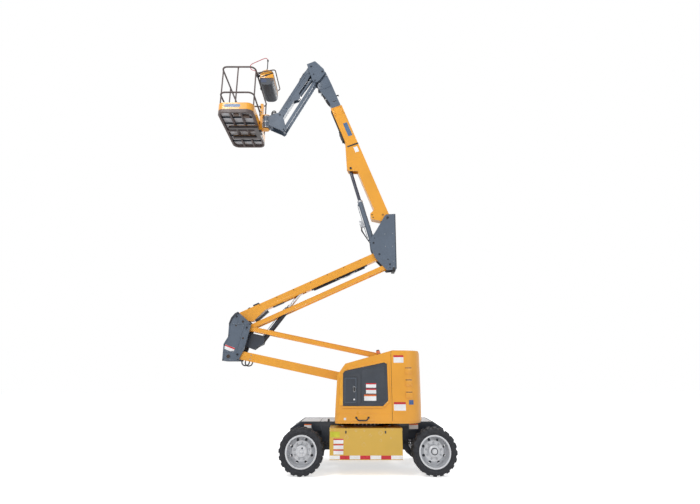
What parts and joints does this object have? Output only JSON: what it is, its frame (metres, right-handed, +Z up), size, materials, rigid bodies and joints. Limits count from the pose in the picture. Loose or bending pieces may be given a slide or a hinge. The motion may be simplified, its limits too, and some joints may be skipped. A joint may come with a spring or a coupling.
{
  "type": "articulating boom lift",
  "caption": "Battery articulating boom lift with a turning turret, folding riser, telescopic main boom, jib and a levelled work platform, arm raised.",
  "frame": {"origin": "on the floor, at the middle of the overall length and width", "axes": "+Z up, X along the chassis with the raised arm reaching towards -X, Y across"},
  "size_m": [4.36, 1.75, 8.2769],
  "materials": {
    "yellow_paint": "gloss",
    "grey_paint": "satin",
    "rod_chrome": "polished",
    "dark_steel": "satin",
    "pale_deck": "satin",
    "dark_plastic": "satin",
    "amber_lens": "gloss",
    "rail_steel": "satin",
    "rim_silver": "satin",
    "tyre_rubber": "matte"
  },
  "bodies": {
    "chassis": {"chassis_frame": "dark_steel", "drive_axle": "dark_steel", "steer_axle": "dark_steel", "deck_plates": "pale_deck", "side_boxes": "yellow_paint", "side_box_lids": "yellow_paint", "slew_ring": "dark_steel"},
    "turret": {"turret_base": "yellow_paint", "riser_posts": "dark_steel", "counterweight": "dark_steel", "tail_cover": "yellow_paint"},
    "hood_near": {"hood_near": "yellow_paint", "control_panel": "dark_plastic", "beacon": "amber_lens"},
    "hood_far": {"hood_far": "yellow_paint"},
    "control_door": {"control_door": "dark_plastic"},
    "lower_arm": {"lower_arm": "yellow_paint"},
    "lower_link": {"lower_link": "yellow_paint"},
    "mid_knuckle": {"mid_knuckle": "grey_paint"},
    "upper_boom": {"upper_boom": "yellow_paint"},
    "upper_link": {"upper_link": "yellow_paint"},
    "upper_knuckle": {"upper_knuckle": "grey_paint"},
    "riser_barrel": {"riser_barrel": "grey_paint"},
    "riser_rod": {"riser_rod": "rod_chrome"},
    "main_boom": {"main_boom": "yellow_paint"},
    "main_barrel": {"main_barrel": "grey_paint"},
    "main_rod": {"main_rod": "rod_chrome"},
    "fly_boom": {"fly_boom": "grey_paint"},
    "jib_base": {"jib_base": "grey_paint"},
    "jib": {"jib": "grey_paint"},
    "jib_link": {"jib_link": "grey_paint"},
    "jib_end": {"jib_end": "grey_paint"},
    "jib_barrel": {"jib_barrel": "grey_paint"},
    "jib_rod": {"jib_rod": "rod_chrome"},
    "platform": {"platform_mount": "yellow_paint", "platform_floor": "dark_steel", "platform_rails": "rail_steel", "platform_console": "dark_plastic"},
    "entry_rail": {"entry_rail": "rail_steel"},
    "knuckle_near": {"steer_knuckle_near": "dark_steel"},
    "knuckle_far": {"steer_knuckle_far": "dark_steel"},
    "wheel_left_near": {"rim_left_near": "rim_silver", "tyre_left_near": "tyre_rubber"},
    "wheel_left_far": {"rim_left_far": "rim_silver", "tyre_left_far": "tyre_rubber"},
    "wheel_right_near": {"rim_right_near": "rim_silver", "tyre_right_near": "tyre_rubber"},
    "wheel_right_far": {"rim_right_far": "rim_silver", "tyre_right_far": "tyre_rubber"}
  },
  "joints": [
    {"name": "turret_swing", "type": "hinge", "parent": "chassis", "child": "turret", "pos_m": [0.77, 0, 0.775], "axis": [0, 0, 1], "range_deg": [-179, 179]},
    {"name": "wheel_left_near_roll", "type": "hinge", "parent": "chassis", "child": "wheel_left_near", "pos_m": [-0.28, -0.75, 0.36], "axis": [0, 1, 0], "continuous": true},
    {"name": "wheel_left_far_roll", "type": "hinge", "parent": "chassis", "child": "wheel_left_far", "pos_m": [-0.28, 0.75, 0.36], "axis": [0, 1, 0], "continuous": true},
    {"name": "steer_near", "type": "hinge", "parent": "chassis", "child": "knuckle_near", "pos_m": [1.82, -0.56, 0.36], "axis": [0, 0, 1], "range_deg": [-35, 35]},
    {"name": "steer_far", "type": "hinge", "parent": "chassis", "child": "knuckle_far", "pos_m": [1.82, 0.56, 0.36], "axis": [0, 0, 1], "range_deg": [-35, 35]},
    {"name": "wheel_right_near_roll", "type": "hinge", "parent": "knuckle_near", "child": "wheel_right_near", "pos_m": [1.82, -0.75, 0.36], "axis": [0, 1, 0], "continuous": true},
    {"name": "wheel_right_far_roll", "type": "hinge", "parent": "knuckle_far", "child": "wheel_right_far", "pos_m": [1.82, 0.75, 0.36], "axis": [0, 1, 0], "continuous": true},
    {"name": "hood_near_lift", "type": "hinge", "parent": "turret", "child": "hood_near", "pos_m": [0.77, -0.205, 1.915], "axis": [-1, 0, 0], "range_deg": [0, 60]},
    {"name": "hood_far_lift", "type": "hinge", "parent": "turret", "child": "hood_far", "pos_m": [0.77, 0.205, 1.915], "axis": [1, 0, 0], "range_deg": [0, 60]},
    {"name": "control_door_swing", "type": "hinge", "parent": "hood_near", "child": "control_door", "pos_m": [0.605, -0.8713, 1.28], "axis": [0, 0, 1], "range_deg": [0, 110]},
    {"name": "riser_lift", "type": "hinge", "parent": "turret", "child": "lower_arm", "pos_m": [1.07, 0, 1.338], "axis": [0, 1, 0], "range_deg": [-27.7, 48.3]},
    {"name": "lower_link_turn", "type": "hinge", "parent": "turret", "child": "lower_link", "pos_m": [1.21, 0, 1.82], "axis": [0, 1, 0], "range_deg": [-27.7, 48.3]},
    {"name": "mid_knuckle_level", "type": "hinge", "parent": "lower_arm", "child": "mid_knuckle", "pos_m": [-1.54746, 0, 1.88005], "axis": [0, -1, 0], "range_deg": [-27.7, 48.3]},
    {"name": "upper_boom_lift", "type": "hinge", "parent": "mid_knuckle", "child": "upper_boom", "pos_m": [-1.60946, 0, 2.56405], "axis": [0, -1, 0], "range_deg": [-23.55, 41.05]},
    {"name": "upper_link_turn", "type": "hinge", "parent": "mid_knuckle", "child": "upper_link", "pos_m": [-1.40746, 0, 2.36205], "axis": [0, -1, 0], "range_deg": [-23.55, 41.05]},
    {"name": "upper_knuckle_level", "type": "hinge", "parent": "upper_boom", "child": "upper_knuckle", "pos_m": [1.06096, 0, 3.78667], "axis": [0, 1, 0], "range_deg": [-23.55, 41.05]},
    {"name": "riser_barrel_turn", "type": "hinge", "parent": "mid_knuckle", "child": "riser_barrel", "pos_m": [-1.16246, 0, 2.09505], "axis": [0, -1, 0], "range_deg": [-20, 34.87]},
    {"name": "riser_rod_slide", "type": "slide", "parent": "riser_barrel", "child": "riser_rod", "axis": [0.5967, 0, 0.8025], "range_m": [-0.25463, 0.44391]},
    {"name": "boom_lift", "type": "hinge", "parent": "upper_knuckle", "child": "main_boom", "pos_m": [1.23896, 0, 4.54867], "axis": [0, 1, 0], "range_deg": [-67.6, 5]},
    {"name": "main_barrel_turn", "type": "hinge", "parent": "upper_knuckle", "child": "main_barrel", "pos_m": [0.94996, 0, 4.01767], "axis": [0, -1, 0], "range_deg": [-4.25, 57.47]},
    {"name": "main_rod_slide", "type": "slide", "parent": "main_barrel", "child": "main_rod", "axis": [-0.27, 0, 0.9628], "range_m": [-0.62499, 0.04632]},
    {"name": "boom_extend", "type": "slide", "parent": "main_boom", "child": "fly_boom", "axis": [-0.3567, 0, 0.9342], "range_m": [0, 1.25]},
    {"name": "jib_base_level", "type": "hinge", "parent": "fly_boom", "child": "jib_base", "pos_m": [-0.12493, 0, 7.997], "axis": [0, -1, 0], "range_deg": [-67.6, 5]},
    {"name": "jib_lift", "type": "hinge", "parent": "jib_base", "child": "jib", "pos_m": [-0.37893, 0, 8.13], "axis": [0, 1, 0], "range_deg": [-8, 112.5]},
    {"name": "jib_link_turn", "type": "hinge", "parent": "jib_base", "child": "jib_link", "pos_m": [-0.28393, 0, 7.77], "axis": [0, 1, 0], "range_deg": [-8, 112.5]},
    {"name": "jib_end_level", "type": "hinge", "parent": "jib", "child": "jib_end", "pos_m": [-1.01937, 0, 6.89972], "axis": [0, -1, 0], "range_deg": [-8, 112.5]},
    {"name": "jib_barrel_turn", "type": "hinge", "parent": "jib_base", "child": "jib_barrel", "pos_m": [-0.31893, 0, 7.93], "axis": [0, -1, 0], "range_deg": [-111.27, 7.91]},
    {"name": "jib_rod_slide", "type": "slide", "parent": "jib_barrel", "child": "jib_rod", "axis": [-0.5095, 0, -0.8605], "range_m": [-0.02536, 0.35534]},
    {"name": "platform_rotate", "type": "hinge", "parent": "jib_end", "child": "platform", "pos_m": [-1.31, 0, 6.57], "axis": [0, 0, 1], "range_deg": [-90, 90]},
    {"name": "entry_rail_lift", "type": "slide", "parent": "platform", "child": "entry_rail", "axis": [0, 0, 1], "range_m": [0, 0.4]}
  ],
  "couplings": [
    {"joint": "steer_far", "follows": "steer_near", "ratio": 1},
    {"joint": "lower_link_turn", "follows": "riser_lift", "ratio": 1},
    {"joint": "mid_knuckle_level", "follows": "riser_lift", "ratio": 1},
    {"joint": "upper_boom_lift", "follows": "riser_lift", "ratio": 0.85},
    {"joint": "upper_link_turn", "follows": "riser_lift", "ratio": 0.85},
    {"joint": "upper_knuckle_level", "follows": "riser_lift", "ratio": 0.85},
    {"joint": "riser_barrel_turn", "follows": "riser_lift", "ratio": 0.722},
    {"joint": "riser_rod_slide", "follows": "riser_lift", "m_per_rad": 0.52647},
    {"joint": "main_barrel_turn", "follows": "boom_lift", "ratio": -0.85013},
    {"joint": "main_rod_slide", "follows": "boom_lift", "m_per_rad": 0.52964},
    {"joint": "jib_base_level", "follows": "boom_lift", "ratio": 1},
    {"joint": "jib_link_turn", "follows": "jib_lift", "ratio": 1},
    {"joint": "jib_end_level", "follows": "jib_lift", "ratio": 1},
    {"joint": "jib_barrel_turn", "follows": "jib_lift", "ratio": -0.98909},
    {"joint": "jib_rod_slide", "follows": "jib_lift", "m_per_rad": 0.18092}
  ]
}
